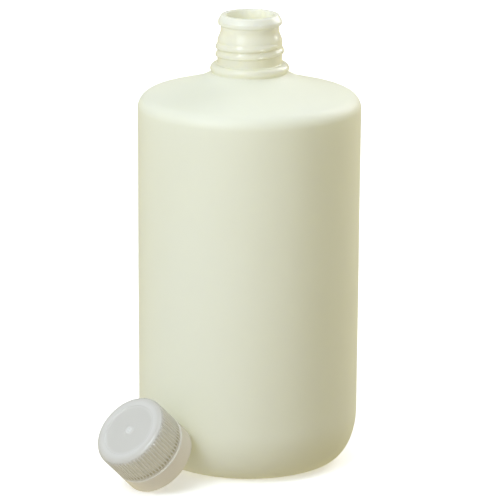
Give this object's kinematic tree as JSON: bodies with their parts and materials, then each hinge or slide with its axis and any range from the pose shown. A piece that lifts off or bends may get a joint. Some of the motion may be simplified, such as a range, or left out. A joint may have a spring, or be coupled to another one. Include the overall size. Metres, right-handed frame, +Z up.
{
  "type": "reagent bottle",
  "caption": "Narrow-mouth cylindrical plastic reagent bottle with its ribbed screw closure off and leaning against the wall.",
  "frame": {"origin": "centre of the bottle's foot ring, on the surface it stands on", "axes": "+Z up along the bottle's axis, out of its mouth; the loose closure leans on the wall in the -X -Y quarter"},
  "size_m": [0.1407, 0.1493, 0.2475],
  "materials": {
    "bottle_body": "satin",
    "closure_shell": "satin, translucent",
    "sealing_liner": "matte"
  },
  "bodies": {
    "bottle_body": {"bottle": "bottle_body"},
    "closure_carrier": {"liner": "sealing_liner"},
    "closure_body": {"closure": "closure_shell"}
  },
  "joints": [
    {"name": "closure_lift_off", "type": "slide", "parent": "bottle_body", "child": "closure_carrier", "axis": [-0.5287, -0.5053, 0.682], "range_m": [0, 0.09]},
    {"name": "closure_turn", "type": "hinge", "parent": "closure_carrier", "child": "closure_body", "pos_m": [-0.0477, -0.05665, 0.01513], "axis": [-0.5287, -0.5053, 0.682], "continuous": true}
  ]
}
